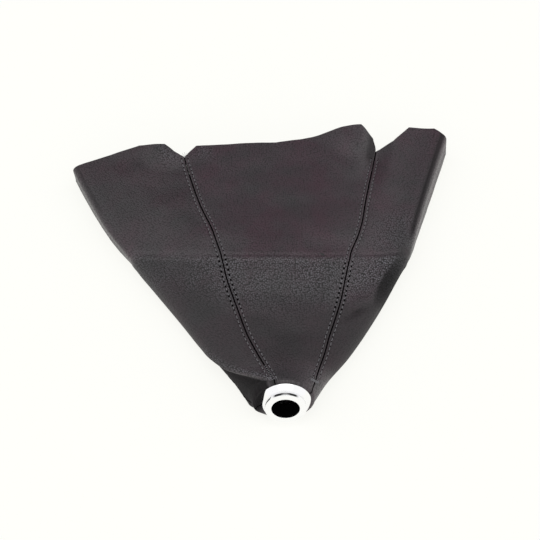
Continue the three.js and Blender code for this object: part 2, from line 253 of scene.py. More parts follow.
# Fineness of the meshes, and from which angle in degrees their edges look sharp
LEATHER_SHARP = 50
METAL_SHARP = 35
THREAD_SHARP = 80
ROW_STEP = 1.15
HEM_ROWS_FROM = 200.0
HEM_ROWS = 44
CLAMPED_ROWS = 6
SHOULDER_ROWS = 9
MIDDLE_COLUMNS = 84
EDGE_COLUMNS = np.array([0.0, 0.03, 0.12, 0.3, 0.55, 0.85, 1.3, 1.75, 2.15, 2.6, 3.05, 3.5, 4.1, 5.0,
                         6.1, 7.4])
GROOVE_COLUMNS = 4
CLOSEST_COLUMN = 0.004
CUT_STEP = 0.35
ON_ALLOWANCE = ALLOWANCE + 0.1
LINE_STEP = 0.5
ROUND_STEPS = 9
STRAND_STEPS = 9
STRAND_SIDES = 6
RING_SEGMENTS = 160
WASHER_SEGMENTS = 96
SECTION_STEPS = 120
SHARE_SAMPLES = 1440
TABLE_STEP = 1.0
TABLE_END = 290.0

# The camera stands where the photograph's did: how high it looks down, how far, and its lens
CAMERA_DOWN = math.radians(52)
CAMERA_DISTANCE = 1250.0
CAMERA_LENS = 106.8
AIM_FROM_NECK = (-11.5, 115.0, 30.0)


def smooth(value, low, high):
    part = np.clip((value - low) / (high - low), 0, 1)
    return part * part * (3 - 2 * part)


def hill(distance, reach):
    inside = np.clip(1 - (distance / reach) ** 2, 0, 1)
    return inside * inside


def bell(distance, width):
    return np.exp(-((distance / width) ** 2))


def between(value, rise, fall):
    """Rises from 0 to 1 over one span and falls to 0 again over another."""
    return smooth(value, *rise) * (1 - smooth(value, *fall))


def from_middle(share):
    """A share of the girth, counted to both sides from the middle of the top."""
    return share - np.round(share)


def along(stations, name, at):
    """A smooth curve through the stations that doesn't overshoot between them."""
    x = np.array(stations["at"], float)
    y = np.array(stations[name], float)
    step = np.diff(x)
    slope = np.diff(y) / step
    tangent = np.zeros_like(y)
    tangent[0] = slope[0]
    tangent[-1] = slope[-1]
    for k in range(1, len(x) - 1):
        if slope[k - 1] * slope[k] > 0:
            shorter = 2 * step[k] + step[k - 1]
            longer = step[k] + 2 * step[k - 1]
            tangent[k] = (shorter + longer) / (shorter / slope[k - 1] + longer / slope[k])
    place_at = np.clip(at, x[0], x[-1])
    i = np.clip(np.searchsorted(x, place_at, side="right") - 1, 0, len(step) - 1)
    t = (place_at - x[i]) / step[i]
    return (
        (1 + 2 * t) * (1 - t) ** 2 * y[i]
        + t * (1 - t) ** 2 * step[i] * tangent[i]
        + t * t * (3 - 2 * t) * y[i + 1]
        + t * t * (t - 1) * step[i] * tangent[i + 1]
    )


def trace_section(at):
    """The cross-section at a distance behind the neck, clockwise from the middle of the top."""
    left, right, fold = (float(along(STATIONS, name, at)) for name in ("left", "right", "fold"))
    middle = (right - left) / 2
    half = (right + left) / 2 - fold
    sweep = CREASE_SWEEP * smooth(at, SWEEP_STARTS, SWEEP_FULL)
    t = np.linspace(-1, 1, 2 * SECTION_STEPS + 1)
    lens = (along(STATIONS, "height", at - sweep * t * t) - 2 * fold) * (1 - t * t)
    slope = np.gradient(lens, half * t)
    size = np.hypot(1, slope)
    top_x = middle + half * t - fold * slope / size
    top_z = fold + lens + fold / size

    def fold_arc(x, start, end):
        angle = np.linspace(start, end, SECTION_STEPS + 1)[1:]
        return x + fold * np.cos(angle), fold + fold * np.sin(angle)

    right_angle = math.atan2(top_z[-1] - fold, top_x[-1] - middle - half)
    left_angle = math.atan2(top_z[0] - fold, top_x[0] - middle + half) - 2 * math.pi
    right_x, right_z = fold_arc(middle + half, right_angle, -math.pi / 2)
    left_x, left_z = fold_arc(middle - half, -math.pi / 2, left_angle)
    flat_x = np.array([middle - half])
    x = np.concatenate([top_x[SECTION_STEPS:], right_x, flat_x, left_x, top_x[1:SECTION_STEPS + 1]])
    z = np.concatenate([top_z[SECTION_STEPS:], right_z, [0.0], left_z, top_z[1:SECTION_STEPS + 1]])
    ends = np.full(SECTION_STEPS, 1.0)
    spine = np.concatenate([t[SECTION_STEPS:], ends, [-1.0], -ends, t[1:SECTION_STEPS + 1]])
    length = np.concatenate([[0.0], np.cumsum(np.hypot(np.diff(x), np.diff(z)))])
    share = np.linspace(0, length[-1], SHARE_SAMPLES + 1)
    sampled = [np.interp(share, length, values) for values in (x, z, spine)]
    return sampled, length[-1], length[SECTION_STEPS], length[3 * SECTION_STEPS + 1]


TABLE_AT = np.arange(0, TABLE_END + TABLE_STEP, TABLE_STEP)
traced = [trace_section(at) for at in TABLE_AT]
TABLE_X, TABLE_Z, TABLE_SPINE = (np.array([item[0][k] for item in traced]) for k in range(3))
TABLE_GIRTH, RIGHT_FOLD_FROM, LEFT_FOLD_TO = (np.array([item[k] for item in traced]) for k in (1, 2, 3))


def girth(at):
    return np.interp(at, TABLE_AT, TABLE_GIRTH)


def from_table(table, share, at):
    column = (share - np.floor(share)) * SHARE_SAMPLES
    row = np.clip(at / TABLE_STEP, 0, len(TABLE_AT) - 1.001)
    i = row.astype(int)
    j = np.minimum(column.astype(int), SHARE_SAMPLES - 1)
    down = row - i
    over = column - j
    near = table[i, j] * (1 - over) + table[i, j + 1] * over
    far = table[i + 1, j] * (1 - over) + table[i + 1, j + 1] * over
    return near * (1 - down) + far * down


def place(x, at, z):
    """Sets a point of the neck's own plane into the boot, tilted as the neck is."""
    tilt = NECK_TILT * (1 - smooth(at, 0, TILT_FADES_OVER))
    rise = z - NECK_HEIGHT
    return np.stack([x, at + rise * np.sin(tilt), NECK_HEIGHT + rise * np.cos(tilt)], -1)


def lift(share, at):
    """How far the leather stands over the plain section."""
    around = girth(at)
    seam = along(SEAMS, "front_right", at)
    corner = np.hypot((share - CORNER_SHARE) * around, at - CORNER_AT)
    sinking = smooth(at, SEAM_SINK_FROM, SEAM_SINK_FULL)
    sink = SEAM_SINK * sinking * hill((share - seam) * around, SEAM_SINK_HALF_WIDTH)
    curl = CURL * hill(np.hypot((from_middle(share) - CURL_SHARE) * around, at - CURL_AT), CURL_REACH)
    return CORNER_LIFT * hill(corner, CORNER_REACH) - sink + curl


def paired(share, turn):
    return np.broadcast_arrays(np.asarray(share, float), np.asarray(turn, float))


def outer_face(share, turn):
    """The leather's outer face. The turn runs from 0 at the barrel to 1 where the shoulder starts,
    to 2 where it ends, and past 2 it is the distance behind the shoulder's end."""
    share, turn = paired(share, turn)
    at = at_turn(turn)
    x = from_table(TABLE_X, share, at)
    z = from_table(TABLE_Z, share, at)
    body = place(x, at, z + lift(share, at))
    reach = np.hypot(x, z - NECK_HEIGHT)
    angle = np.clip(turn - 1, 0, 1) * math.pi / 2
    flat = CLAMP_RADIUS + (reach - SHOULDER - CLAMP_RADIUS) * np.clip(turn, 0, 1)
    radius = np.where(turn < 1, flat, reach - SHOULDER * (1 - np.sin(angle)))
    swell = SWELL * hill(from_middle(share - SWELL_SHARE), SWELL_REACH)
    swell = swell * hill(turn - SWELL_TURN, SWELL_TURN_REACH)
    swell = swell * smooth(radius, SWELL_CLEARS, SWELL_CLEARS + SHOULDER / 2)
    ahead = SHOULDER * (1 - np.cos(angle)) - swell
    spoke = radius / reach
    neck = place(x * spoke, ahead, NECK_HEIGHT + (z - NECK_HEIGHT) * spoke)
    return np.where((turn >= 2)[..., None], body, neck)


def unit(vectors):
    return vectors / np.linalg.norm(vectors, axis=-1, keepdims=True)


def turn_at(at):
    return at - SHOULDER + 2


def at_turn(turn):
    return np.maximum(turn - 2, 0) + SHOULDER


def facing(surface, share, turn):
    """The direction that a surface faces."""
    aside = 0.0012
    ahead = 0.03
    across = surface(share + aside, turn) - surface(share - aside, turn)
    back = surface(share, turn + ahead) - surface(share, np.maximum(0, turn - ahead))
    return unit(np.cross(across, back))


def side_ridge(inward, height):
    """A crisp ridge where the top bends into a side fold, by the distance inward from the fold."""
    top = bell(np.maximum(inward - RIDGE_CREST, 0), RIDGE_REACH)
    wall = np.clip(1 - (RIDGE_CREST - inward) / RIDGE_REACH, 0, 1)
    return height * np.where(inward > RIDGE_CREST, top, wall)


def side_wall(inward, at, height, wall):
    """The relief that turns a round fold into a flat top with a steep wall down from its crest."""
    fold = along(STATIONS, "fold", at)
    foot_x, foot_z = wall["foot"][0] * fold, wall["foot"][1] * fold
    rise = fold + height - foot_z
    run = foot_x - wall["crest"] * fold
    size = np.hypot(rise, run)
    reach = foot_x * rise / size + foot_z * run / size
    leans = np.arctan2(run, rise)
    foot_angle = math.atan2(wall["foot"][1], wall["foot"][0])
    foot_reach = math.hypot(*wall["foot"]) * fold
    angle = math.pi / 2 + inward / fold
    top = height * bell(np.maximum(inward, 0), RIDGE_REACH)
    flat = (fold + height) / np.sin(np.clip(angle, WALL_FLATTEST, math.pi / 2)) - fold
    steep = reach / np.cos(np.clip(angle, foot_angle, math.pi / 2) - leans) - fold
    under = (foot_reach - fold) * (1 - smooth(foot_angle - angle, 0, WALL_UNDER))
    lower = np.where(angle > foot_angle, np.minimum(flat, steep), under)
    return np.where(inward > 0, top, lower)


def side_relief(inward, at, ridge, wall):
    """A side fold with its ridge, turned into a wall towards the hem."""
    round_fold = side_ridge(inward, ridge)
    softened = sum(side_wall(inward + aside, at, ridge, wall) for aside in WALL_SOFTENING)
    walled = smooth(at, *WALLED) * (softened / len(WALL_SOFTENING) - round_fold)
    return smooth(at, *RIDGED) * (round_fold + walled)


def inward_of_folds(turned, at):
    """How far a place lies inward from the right and from the left side fold."""
    across = turned * girth(at)
    right = np.interp(at, TABLE_AT, RIGHT_FOLD_FROM) - across
    left = girth(at) - np.interp(at, TABLE_AT, LEFT_FOLD_TO) + across
    return right, left


def above_neck_fold(turned, at):
    """The distance square to the neck's sharp fold, which is negative under it."""
    return (turned - along(NECK_FOLD, "share", at)) * girth(at) * NECK_FOLD_SLANT


def neck_relief(turned, at):
    """The sharp fold on the neck's left, with the hollow and the bulge under it."""
    beside = above_neck_fold(turned, at)
    step = 1 - bell(np.minimum(beside, 0), NECK_FOLD_EDGE)
    crest = np.where(beside > 0, bell(np.maximum(beside, 0), NECK_FOLD_OVER), 1 - step)
    hollow = step * np.exp(np.minimum(beside, 0) / NECK_FOLD_UNDER)
    folded = between(at, NECK_FOLD_STARTS, NECK_FOLD_ENDS) * smooth(turned, *NECK_FOLD_SIDE)
    bulge = NECK_BULGE * bell(turned - NECK_BULGE_SHARE, NECK_BULGE_REACH)
    bulge = bulge * between(at, NECK_BULGE_STARTS, NECK_BULGE_ENDS)
    return folded * (NECK_FOLD_CREST * crest - NECK_FOLD_RECESS * hollow) + bulge


def before_crease(share, at):
    """How far a place lies before the crease, on the neck's side of it."""
    spine = from_table(TABLE_SPINE, share, at)
    return CREASE_AT + CREASE_SWEEP * spine * spine - at


def in_dent(turned, at):
    """From 0 outside the dent to 1 in its middle. The dent lies aslant."""
    across = (turned - DENT_SHARE) * girth(at)
    behind = at - DENT_AT
    longways = bell((across + behind) / math.sqrt(2), DENT_LENGTH)
    return longways * bell((behind - across) / math.sqrt(2), DENT_WIDTH)


def relief(share, turn):
    """How far the leather's folds and waves stand over the plain surface."""
    at = at_turn(turn)
    turned = from_middle(share)
    on_top = 1 - smooth(np.abs(turned), *TOP_ENDS)
    away = before_crease(share, at)
    crease = CREASE_RIDGE * bell(away - CREASE_RIDGE_BEFORE, CREASE_RIDGE_WIDTH)
    height = on_top * (crease - CREASE_VALLEY * bell(away, CREASE_VALLEY_WIDTH))
    right_inward, left_inward = inward_of_folds(turned, at)
    height += side_relief(right_inward, at, RIGHT_RIDGE, RIGHT_WALL)
    height += side_relief(left_inward, at, LEFT_RIDGE, LEFT_WALL)
    height += neck_relief(turned, at) - DENT * in_dent(turned, at)
    x = from_table(TABLE_X, share, at)
    waved = smooth(np.minimum(right_inward, left_inward), *WAVES_FROM_FOLD)
    waved = waved * on_top * smooth(at, *WAVES_FROM_NECK)
    for rise, wavelength, direction, phase in WAVES:
        angle = math.radians(direction)
        run = 2 * math.pi * (x * math.cos(angle) + at * math.sin(angle)) / wavelength
        beside = 2 * math.pi * (at * math.cos(angle) - x * math.sin(angle)) / wavelength
        height += waved * rise * np.sin(run + WAVE_BEND * np.sin(beside / WAVE_BEND_LENGTH) + phase)
    return height * smooth(turn, *RELIEF_FROM_NECK)


def pressed(points, lowest=0.0):
    """Nothing reaches under the surface that the gaiter lies on."""
    return np.concatenate([points[..., :2], np.maximum(points[..., 2:], lowest)], axis=-1)


def dressed(share, turn):
    share, turn = paired(share, turn)
    raised = facing(outer_face, share, turn) * relief(share, turn)[..., None]
    return pressed(outer_face(share, turn) + raised)


def skin(share, turn):
    """The outer face with its folds, and the direction that it faces."""
    share, turn = paired(share, turn)
    return dressed(share, turn), facing(dressed, share, turn)


# Where the neck's middle stands in the frame, worked out from the ring's own box
ring_low, ring_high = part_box("neck_ring")
lip_reach = LIP_HEIGHT * math.cos(NECK_TILT) + (LIP_RADIUS - LIP_ROUND) * math.sin(NECK_TILT)
NECK_X = (ring_low[0] + ring_high[0]) / 2 / MM
NECK_Y = ring_low[1] / MM + lip_reach


def metres(points):
    return (np.asarray(points) + np.array([NECK_X, NECK_Y, 0.0])) * MM


def new_mesh(name, points, faces, slots=None):
    mesh = bpy.data.meshes.new(name)
    mesh.from_pydata([tuple(point) for point in metres(points)], [], [tuple(face) for face in faces])
    if slots is not None:
        mesh.polygons.foreach_set("material_index", np.asarray(slots, dtype=np.int32))
    mesh.validate()
    mesh.update()
    piece = bpy.data.objects.new(name, mesh)
    bpy.context.scene.collection.objects.link(piece)
    return piece


def shade(piece, sharp):
    piece.data.shade_smooth()
    piece.data.set_sharp_from_angle(angle=math.radians(sharp))


# Materials
class Graph:
    """The node tree of a material or of the world, and the steps that add to it."""

    def __init__(self, owner):
        owner.use_nodes = True
        self.nodes = owner.node_tree.nodes
        self.links = owner.node_tree.links

    def feed(self, socket, value):
        """Links an output to a socket, or sets the socket to a plain value."""
        if isinstance(value, bpy.types.NodeSocket):
            self.links.new(value, socket)
        else:
            socket.default_value = value

    def add(self, kind, **settings):
        made = self.nodes.new(kind)
        for key, value in settings.items():
            if key in made.inputs:
                self.feed(made.inputs[key], value)
            else:
                setattr(made, key, value)
        return made

    def maths(self, operation, *values, clamp=False):
        made = self.add("ShaderNodeMath", operation=operation, use_clamp=clamp)
        for socket, value in zip(made.inputs, values):
            self.feed(socket, value)
        return made.outputs["Value"]

    def mixed(self, blend, factor, first, second):
        made = self.add("ShaderNodeMix", data_type="RGBA", blend_type=blend,
                        Factor=factor, A=first, B=second)
        return made.outputs["Result"]

    def ranged(self, value, low, high, side="To", **settings):
        """Brings a value from or to the range between low and high."""
        made = self.add("ShaderNodeMapRange", Value=value, **settings)
        made.inputs[side + " Min"].default_value = low
        made.inputs[side + " Max"].default_value = high
        return made.outputs["Result"]

    def toned(self, value, stops):
        """A value as a colour between two stops or more."""
        made = self.add("ShaderNodeValToRGB")
        elements = made.color_ramp.elements
        for element, (at, colour) in zip(elements, stops):
            element.position = at
            element.color = colour
        for at, colour in stops[2:]:
            elements.new(at).color = colour
        self.feed(made.inputs["Fac"], value)
        return made.outputs["Color"]


class Look(Graph):
    """A material, with its shader and the place of each point on the piece."""

    def __init__(self, name):
        self.material = bpy.data.materials.new(name)
        super().__init__(self.material)
        self.shader = self.nodes["Principled BSDF"]
        self.place = self.add("ShaderNodeTexCoord").outputs["Object"]

    def pattern(self, kind, **settings):
        return self.add("ShaderNodeTex" + kind, Vector=self.place, **settings).outputs["Fac"]

    def set(self, settings):
        for name, value in settings.items():
            self.feed(self.shader.inputs[name], value)

    def bump(self, height, strength, distance):
        made = self.add("ShaderNodeBump", Strength=strength, Distance=distance, Height=height)
        self.set({"Normal": made.outputs["Normal"]})


def grey(value):
    return (value, value, value, 1)


# The leather's grain: pebbles a metre, how high they stand and how far apart their crevices lie, how dark
# the crevices are painted as shade where the painted sparkle mask is low and high, and the painted glint on
# top of each pebble
GRAIN_SCALE = 700.0
GRAIN_UNEVEN = 0.8
GRAIN_HEIGHT = 0.00014
FINE_SCALE = 1500.0
FINE_HEIGHT = 0.3
CREVICE_AT = 0.68
CREVICE_PAINTED_SHADE = (0.5, 1.15)
ROUGHNESS = (0.55, 0.3)
PAINTED_GLINT = (0.23, 0.232, 0.26, 1)
PAINTED_GLINT_SHARPNESS = 5.0
PAINTED_GLINT_LEAST = 0.2
TONES = [(0.34, (0.061, 0.032, 0.044, 1)), (0.5, (0.053, 0.037, 0.045, 1)), (0.66, (0.045, 0.039, 0.043, 1))]
# How far the painted shade mask darkens the leather's colour
PAINTED_SHADE_STRENGTH = 0.85


def leather_material():
    look = Look("black_leather")
    look.set({"Specular IOR Level": 0.5})
    painted_sparkle_attribute, painted_shade_attribute, unrolled = (
        look.add("ShaderNodeAttribute", attribute_name=name) for name in ("painted_sparkle", "painted_shade", "unrolled"))
    painted_sparkle_mask = painted_sparkle_attribute.outputs["Fac"]
    painted_shade_mask = painted_shade_attribute.outputs["Fac"]
    tone = look.toned(look.pattern("Noise", Scale=30.0, Detail=5.0, Roughness=0.62), TONES)
    pebble = look.add("ShaderNodeTexVoronoi", voronoi_dimensions="2D", Vector=unrolled.outputs["Vector"],
                      Scale=GRAIN_SCALE, Randomness=GRAIN_UNEVEN)
    reach = look.maths("DIVIDE", pebble.outputs["Distance"], CREVICE_AT)
    dome = look.maths("SUBTRACT", 1.0, look.maths("MULTIPLY", reach, reach), clamp=True)
    fine = look.pattern("Noise", Scale=FINE_SCALE, Detail=2.0)
    look.bump(look.maths("ADD", dome, look.maths("MULTIPLY", fine, FINE_HEIGHT)), 1.0, GRAIN_HEIGHT)
    own = look.add("ShaderNodeSeparateColor", Color=pebble.outputs["Color"]).outputs["Red"]
    own = look.maths("ADD", look.maths("MULTIPLY", own, 1.0 - PAINTED_GLINT_LEAST), PAINTED_GLINT_LEAST)
    painted_glint = look.maths("MULTIPLY", own, look.maths("POWER", dome, PAINTED_GLINT_SHARPNESS))
    # Painted shade in the pebbles' crevices, deeper where the painted sparkle mask is high, and painted
    # glints on the pebble tops
    tone_with_painted_crevice_shade = look.mixed("MULTIPLY", look.ranged(painted_sparkle_mask, *CREVICE_PAINTED_SHADE), tone, dome)
    with_painted_glints = look.mixed("MIX", look.maths("MULTIPLY", painted_glint, painted_sparkle_mask), tone_with_painted_crevice_shade, PAINTED_GLINT)
    # Painted shade: the colour darkens where the painted shade mask is high, and that mask also raises the
    # roughness
    lit = look.mixed("MULTIPLY", look.maths("MULTIPLY", painted_shade_mask, PAINTED_SHADE_STRENGTH), with_painted_glints, grey(0.0))
    look.set({"Base Color": lit, "Roughness": look.maths("MAXIMUM", look.ranged(dome, *ROUGHNESS), painted_shade_mask)})
    return look.material


def backing_material():
    look = Look("knit_backing")
    wales = look.pattern("Wave", Scale=330.0, Distortion=1.2, Detail=1.0)
    courses = look.pattern("Wave", Scale=280.0, Distortion=1.0, bands_direction="Y")
    knit = look.maths("MULTIPLY", wales, courses)
    look.bump(knit, strength=0.5, distance=0.0003)
    look.set({
        "Base Color": look.toned(knit, [(0.0, grey(0.035)), (1.0, (0.085, 0.084, 0.088, 1))]),
        "Roughness": 0.92, "Specular IOR Level": 0.15, "Sheen Weight": 0.15,
    })
    return look.material


def cut_edge_material():
    look = Look("cut_edge")
    fibres = look.pattern("Noise", Scale=1500.0, Detail=3.0)
    look.bump(fibres, strength=0.5, distance=0.0002)
    stops = [(0.3, (0.008, 0.007, 0.008, 1)), (0.75, (0.025, 0.022, 0.024, 1))]
    look.set({"Base Color": look.toned(fibres, stops), "Roughness": 0.9})
    return look.material


def thread_material():
    look = Look("grey_thread")
    ply = look.pattern("Wave", Scale=700.0, Distortion=2.0, bands_direction="DIAGONAL")
    look.bump(ply, strength=0.4, distance=0.0001)
    stops = [(0.0, (0.09, 0.088, 0.095, 1)), (1.0, (0.24, 0.235, 0.25, 1))]
    look.set({"Base Color": look.toned(ply, stops), "Roughness": 0.6})
    return look.material


def hole_and_groove_shade_material():
    look = Look("painted_hole_and_groove_shade")
    # Near-black: painted shade for the depth of the needle holes and of the seams' grooves
    painted_hole_shade = look.toned(look.pattern("Noise", Scale=2000.0), [(0.0, grey(0.001)), (1.0, grey(0.004))])
    look.set({"Base Color": painted_hole_shade, "Roughness": 1.0, "Specular IOR Level": 0.0})
    return look.material


def metal_material(name, low, high, roughness, scale):
    look = Look(name)
    rubbed = look.pattern("Noise", Scale=scale, Detail=4.0)
    tone = look.toned(rubbed, [(0.3, low), (0.7, high)])
    look.set({"Base Color": tone, "Roughness": look.ranged(rubbed, *roughness), "Metallic": 1.0})
    return look.material


LEATHER_LOOK = leather_material()
BACKING_LOOK = backing_material()
EDGE_LOOK = cut_edge_material()
THREAD_LOOK = thread_material()
HOLE_AND_GROOVE_SHADE_LOOK = hole_and_groove_shade_material()
CHROME_LOOK = metal_material("bright_chrome", grey(0.95), (0.97, 0.97, 0.98, 1), (0.03, 0.07), 90.0)
# The bore's near-black metal is painted shade for the dark inside the ring
BORE_SHADE_LOOK = metal_material("painted_bore_shade", grey(0.004), grey(0.008), (0.6, 0.8), 90.0)
STEEL_LOOK = metal_material("zinc_plate", grey(0.5), (0.62, 0.62, 0.64, 1), (0.25, 0.4), 240.0)


# Painted light on the leather: where its pebbles get painted glints and painted crevice shade, and where its
# colour is darkened as painted shade. Their spans run along the boot or, as "side", over shares of the girth
# from the middle of the top; "away" counts from the crease towards the neck.
PAINTED_SPARKLE_LEAST = 0.1
SIDES_START = (0.1, 0.16)
BAND = {"share": 0.66, "left": -0.16, "rise": (0, 6), "fall": (18, 56)}
BAND_WAVES = [(0.14, 11.0, 17.0, 0.0), (0.1, 5.3, -6.1, 1.0)]
UPPER = {"share": 0.25, "side": (0.15, 0.2), "rise": (2, 8), "fall": (30, 52)}
CREST = {"share": 0.8, "above": 2.2, "width": 2.2, "fall": (46, 60)}
BESIDE_NOTCH = {"rise": (208, 226), "patches": [(0.6, -13, 7), (0.4, 17, 8)]}
RIGHT_EDGE = {"rise": (55, 105), "fall": (112, 175), "widens": (60, 110), "reach": 2, "gain": 8, "fade": 7}
RIGHT_LINE = {"dark": 1.0, "rise": (140, 165), "inward": 0.5, "width": 2.4}
LEFT_LINE = {"dark": 0.7, "rise": (170, 190), "inward": -1.5, "width": 2.0}
WEDGE = {"rise": (0.5, 2.5), "fall": (22, 36)}
DENT_DARK = 0.85
NOTCH = {"dark": 0.7, "at": (218, 232), "rise": (0, 2), "fall": (5, 14)}
LOWER = {"dark": 0.56, "more": 0.1, "side": (0.05, 0.2), "away": (30, 55)}
BELOW = {"dark": 0.46, "left": 0.12, "right": -0.3, "away": (0, 8)}
FROM_NECK = (8, 32)
UPPER_LEFT = {"dark": 0.3, "side": (0.08, 0.13), "away": (0, 10)}


def painted_sparkle(share, at):
    """Where the pebbles get painted glints on their tops and deeper painted shade in their crevices."""
    turned = from_middle(share)
    away = before_crease(share, at)
    x = from_table(TABLE_X, share, at)
    waves = (rise * np.sin(x / wide + at / far + phase) for rise, wide, far, phase in BAND_WAVES)
    band = BAND["share"] + sum(waves) + BAND["left"] * smooth(-turned, *SIDES_START)
    band = band * between(away, BAND["rise"], BAND["fall"])
    upper = UPPER["share"] * smooth(turned, *UPPER["side"]) * between(-away, UPPER["rise"], UPPER["fall"])
    crest = CREST["share"] * bell(above_neck_fold(turned, at) - CREST["above"], CREST["width"])
    crest = crest * (1 - smooth(at, *CREST["fall"])) * (turned < 0)
    past_seam = (turned - along(SEAMS, "front_left", at)) * girth(at)
    patches = sum(rise * bell(past_seam - aside, width) for rise, aside, width in BESIDE_NOTCH["patches"])
    patches = patches * smooth(at, *BESIDE_NOTCH["rise"])
    on_top = 1 - smooth(np.abs(turned), *TOP_ENDS)
    return PAINTED_SPARKLE_LEAST + on_top * (band + upper + crest + patches)


def fold_line(line, inward, at):
    """A line of painted shade along a side fold towards the hem."""
    return line["dark"] * smooth(at, *line["rise"]) * bell(inward - line["inward"], line["width"])


def painted_shade(share, at):
    """Where the leather's colour is darkened as painted shade, and its roughness raised."""
    turned = from_middle(share)
    away = before_crease(share, at)
    right_inward, left_inward = inward_of_folds(turned, at)
    reach = RIGHT_EDGE["reach"] + RIGHT_EDGE["gain"] * smooth(at, *RIGHT_EDGE["widens"])
    edge = between(at, RIGHT_EDGE["rise"], RIGHT_EDGE["fall"])
    edge = edge * (1 - smooth(right_inward, reach - RIGHT_EDGE["fade"], reach))
    before_seam = (along(SEAMS, "front_right", at) - turned) * girth(at)
    notch = NOTCH["dark"] * smooth(at, *NOTCH["at"]) * between(before_seam, NOTCH["rise"], NOTCH["fall"])
    dent = DENT_DARK * in_dent(turned, at)
    on_right = np.maximum.reduce([notch, dent, edge, fold_line(RIGHT_LINE, right_inward, at)])
    wedge = between(-above_neck_fold(turned, at), WEDGE["rise"], WEDGE["fall"])
    wedge = wedge * (1 - smooth(at, *NECK_FOLD_ENDS))
    on_side = np.where(turned > 0, on_right, np.maximum(wedge, fold_line(LEFT_LINE, left_inward, at)))
    lower = LOWER["dark"] + LOWER["more"] * smooth(turned, *LOWER["side"])
    lower = lower * smooth(away, *LOWER["away"]) * smooth(at, *FROM_NECK)
    below = BELOW["dark"] + BELOW["left"] * smooth(-turned, *SIDES_START)
    below = below + BELOW["right"] * smooth(turned, *SIDES_START)
    below = below * smooth(away, *BELOW["away"]) * smooth(at, *FROM_NECK)
    upper = UPPER_LEFT["dark"] * smooth(-turned, *UPPER_LEFT["side"]) * smooth(-away, *UPPER_LEFT["away"])
    return np.maximum.reduce([on_side, lower, below, upper])


# The panels
def hem_at(name, part):
    parts, places = zip(*HEMS[name])
    return np.interp(part, parts, places)


def panel_columns(name, width, hem_width):
    """Each row's columns in millimetres from the panel's first seam."""
    edge = np.concatenate([SEAM_HALF_GAP + EDGE_COLUMNS, [ALLOWANCE, ALLOWANCE + CUT_STEP]])
    reach = edge[-1]
    corners = np.array([part for part, _ in HEMS[name]][1:-1])
    marks = (corners * hem_width - reach) / (hem_width - 2 * reach)
    marks = marks[(marks > CLOSEST_COLUMN) & (marks < 1 - CLOSEST_COLUMN)]
    even = np.linspace(0, 1, MIDDLE_COLUMNS + 2)[1:-1]
    keep = np.min(np.abs(even[:, None] - marks[None, :]), axis=1) > CLOSEST_COLUMN
    parts = np.sort(np.concatenate([even[keep], marks]))
    middle = reach + parts[None, :] * (width[:, None] - 2 * reach)
    left = np.broadcast_to(edge, (len(width), len(edge)))
    return np.concatenate([left, middle, width[:, None] - edge[None, ::-1]], axis=1)


def seam_depths(from_edge, doubled, wobble):
    """How deep the outer and inner faces lie at a distance from the panel's nearer seam."""
    full = LEATHER + doubled
    left = 1 - np.clip((from_edge - SEAM_HALF_GAP) / SEAM_EDGE_ROUND, 0, 1)
    rounding = full / 2 * (1 - np.sqrt(np.maximum(1 - left ** 2, 0)))
    dip = STITCH_DIP * bell(from_edge - STITCH_FROM_SEAM, STITCH_DIP_WIDTH)
    dip = dip * (1 + STITCH_DIP_PUCKER * wobble)
    pillow = SEAM_PILLOW * bell(from_edge - SEAM_PILLOW_AT, SEAM_PILLOW_WIDTH)
    pillow = pillow * (1 - SEAM_PILLOW_PUCKER * wobble)
    outer = rounding + doubled / LEATHER * (dip - pillow)
    inner = np.where(from_edge < ON_ALLOWANCE, full - rounding, LEATHER)
    return outer, inner


def panel_edges(name, at):
    """Where the panel's two seams run, as shares of the girth."""
    first, second = PANELS[name]
    wrap = 1 if first == "back_left" else 0
    return along(SEAMS, first, at), along(SEAMS, second, at) + wrap


def panel_grid(name):
    """The panel's rows and columns: places across it and behind the neck, shares, turns, row widths."""
    shoulder = np.concatenate([np.linspace(0, 1, CLAMPED_ROWS), np.linspace(1, 2, SHOULDER_ROWS)[1:]])
    steady = np.arange(SHOULDER + ROW_STEP, HEM_ROWS_FROM, ROW_STEP)
    level = np.concatenate([np.zeros(len(shoulder)), steady])
    growing = np.linspace(0, 1, HEM_ROWS + 1)
    middle_hem = float(hem_at(name, 0.5))
    row_at = np.concatenate([level, HEM_ROWS_FROM + growing * (middle_hem - HEM_ROWS_FROM)])
    start, end = panel_edges(name, row_at)
    width = (end - start) * girth(np.maximum(row_at, SHOULDER))
    across = panel_columns(name, width, width[-1])
    part = across / width[:, None]
    hem = hem_at(name, part[len(level):])
    grown = HEM_ROWS_FROM + growing[:, None] * (hem - HEM_ROWS_FROM)
    at = np.concatenate([np.broadcast_to(level[:, None], (len(level), part.shape[1])), grown])
    start, end = panel_edges(name, at)
    turn = turn_at(at)
    turn[: len(shoulder)] = shoulder[:, None]
    return across, at, start + (end - start) * part, turn, width


# The groove slot takes the near-black hole look: painted shade in each seam's groove
OUTER_SLOT, BACKING_SLOT, CUT_SLOT, GROOVE_SLOT = range(4)


def strip_slot(i, count, nearer):
    """The look between one column and the next, counted over the outer face and back over the inner."""
    in_groove = min(i, count - 2 - i) < GROOVE_COLUMNS
    if i in (count - 1, 2 * count - 1) or (i < count and in_groove):
        return GROOVE_SLOT
    if i < count:
        return OUTER_SLOT
    k = 2 * count - 1 - i
    low, high = sorted((nearer[k], nearer[k - 1]))
    if high < ON_ALLOWANCE:
        return OUTER_SLOT
    return CUT_SLOT if low < ON_ALLOWANCE else BACKING_SLOT


